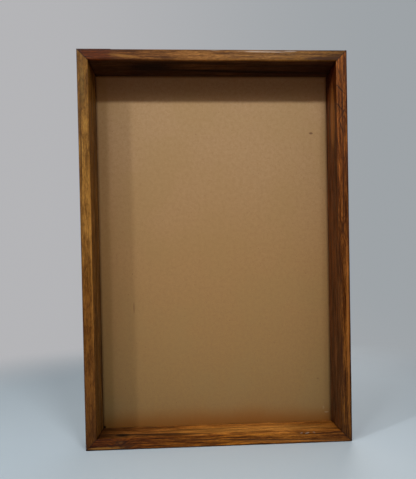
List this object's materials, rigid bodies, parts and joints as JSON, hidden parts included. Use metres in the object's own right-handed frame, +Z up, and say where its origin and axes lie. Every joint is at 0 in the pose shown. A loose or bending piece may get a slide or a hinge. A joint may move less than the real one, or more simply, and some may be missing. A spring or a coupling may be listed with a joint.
{
  "type": "shadow box",
  "caption": "Open-fronted wooden shadow box with mitred rails, a deep recess, a removable hardboard back held by turn buttons, and D-ring hangers.",
  "frame": {"origin": "on the underside of the bottom rail, at the middle of the box's width and depth", "axes": "+Z up, +Y from the open front towards the back, +X to the right seen from the front"},
  "size_m": [0.319, 0.0479, 0.47],
  "materials": {
    "wood_top": "clear varnished teak, golden brown",
    "wood_bottom": "clear varnished teak, orange brown",
    "wood_left": "clear varnished teak, golden brown",
    "wood_right": "clear varnished teak, red brown",
    "hardboard": "smooth tempered hardboard",
    "zinc_plate": "bright zinc plate",
    "screw_plate": "yellow zinc plate",
    "nail_steel": "dull bare steel"
  },
  "bodies": {
    "box": {"top_rail": "wood_top", "bottom_rail": "wood_bottom", "left_rail": "wood_left", "right_rail": "wood_right", "back_panel": "hardboard", "nail_top_left_front": "nail_steel", "nail_top_left_rear": "nail_steel", "nail_top_right_front": "nail_steel", "nail_top_right_rear": "nail_steel", "nail_bottom_left_front": "nail_steel", "nail_bottom_left_rear": "nail_steel", "nail_bottom_right_front": "nail_steel", "nail_bottom_right_rear": "nail_steel", "button_screw_top": "screw_plate", "button_screw_bottom": "screw_plate", "button_screw_left_upper": "screw_plate", "button_screw_left_lower": "screw_plate", "button_screw_right_upper": "screw_plate", "button_screw_right_lower": "screw_plate", "hanger_strap_left": "zinc_plate", "hanger_strap_right": "zinc_plate", "hanger_screw_left": "screw_plate", "hanger_screw_right": "screw_plate"},
    "turn_button_top": {"button_top": "zinc_plate"},
    "turn_button_bottom": {"button_bottom": "zinc_plate"},
    "turn_button_left_upper": {"button_left_upper": "zinc_plate"},
    "turn_button_left_lower": {"button_left_lower": "zinc_plate"},
    "turn_button_right_upper": {"button_right_upper": "zinc_plate"},
    "turn_button_right_lower": {"button_right_lower": "zinc_plate"},
    "ring_left": {"hanger_ring_left": "zinc_plate"},
    "ring_right": {"hanger_ring_right": "zinc_plate"}
  },
  "joints": [
    {"name": "button_top_turn", "type": "hinge", "parent": "box", "child": "turn_button_top", "pos_m": [0, 0.02175, 0.4658], "axis": [0, 1, 0], "continuous": true},
    {"name": "button_bottom_turn", "type": "hinge", "parent": "box", "child": "turn_button_bottom", "pos_m": [0, 0.02175, 0.0042], "axis": [0, 1, 0], "continuous": true},
    {"name": "button_left_upper_turn", "type": "hinge", "parent": "box", "child": "turn_button_left_upper", "pos_m": [-0.1553, 0.02175, 0.3525], "axis": [0, 1, 0], "continuous": true},
    {"name": "button_left_lower_turn", "type": "hinge", "parent": "box", "child": "turn_button_left_lower", "pos_m": [-0.1553, 0.02175, 0.1175], "axis": [0, 1, 0], "continuous": true},
    {"name": "button_right_upper_turn", "type": "hinge", "parent": "box", "child": "turn_button_right_upper", "pos_m": [0.1553, 0.02175, 0.3525], "axis": [0, 1, 0], "continuous": true},
    {"name": "button_right_lower_turn", "type": "hinge", "parent": "box", "child": "turn_button_right_lower", "pos_m": [0.1553, 0.02175, 0.1175], "axis": [0, 1, 0], "continuous": true},
    {"name": "ring_left_swing", "type": "hinge", "parent": "box", "child": "ring_left", "pos_m": [-0.1455, 0.02415, 0.3], "axis": [0, 0, 1], "range_deg": [0, 155]},
    {"name": "ring_right_swing", "type": "hinge", "parent": "box", "child": "ring_right", "pos_m": [0.1455, 0.02415, 0.3], "axis": [0, 0, -1], "range_deg": [0, 155]}
  ]
}
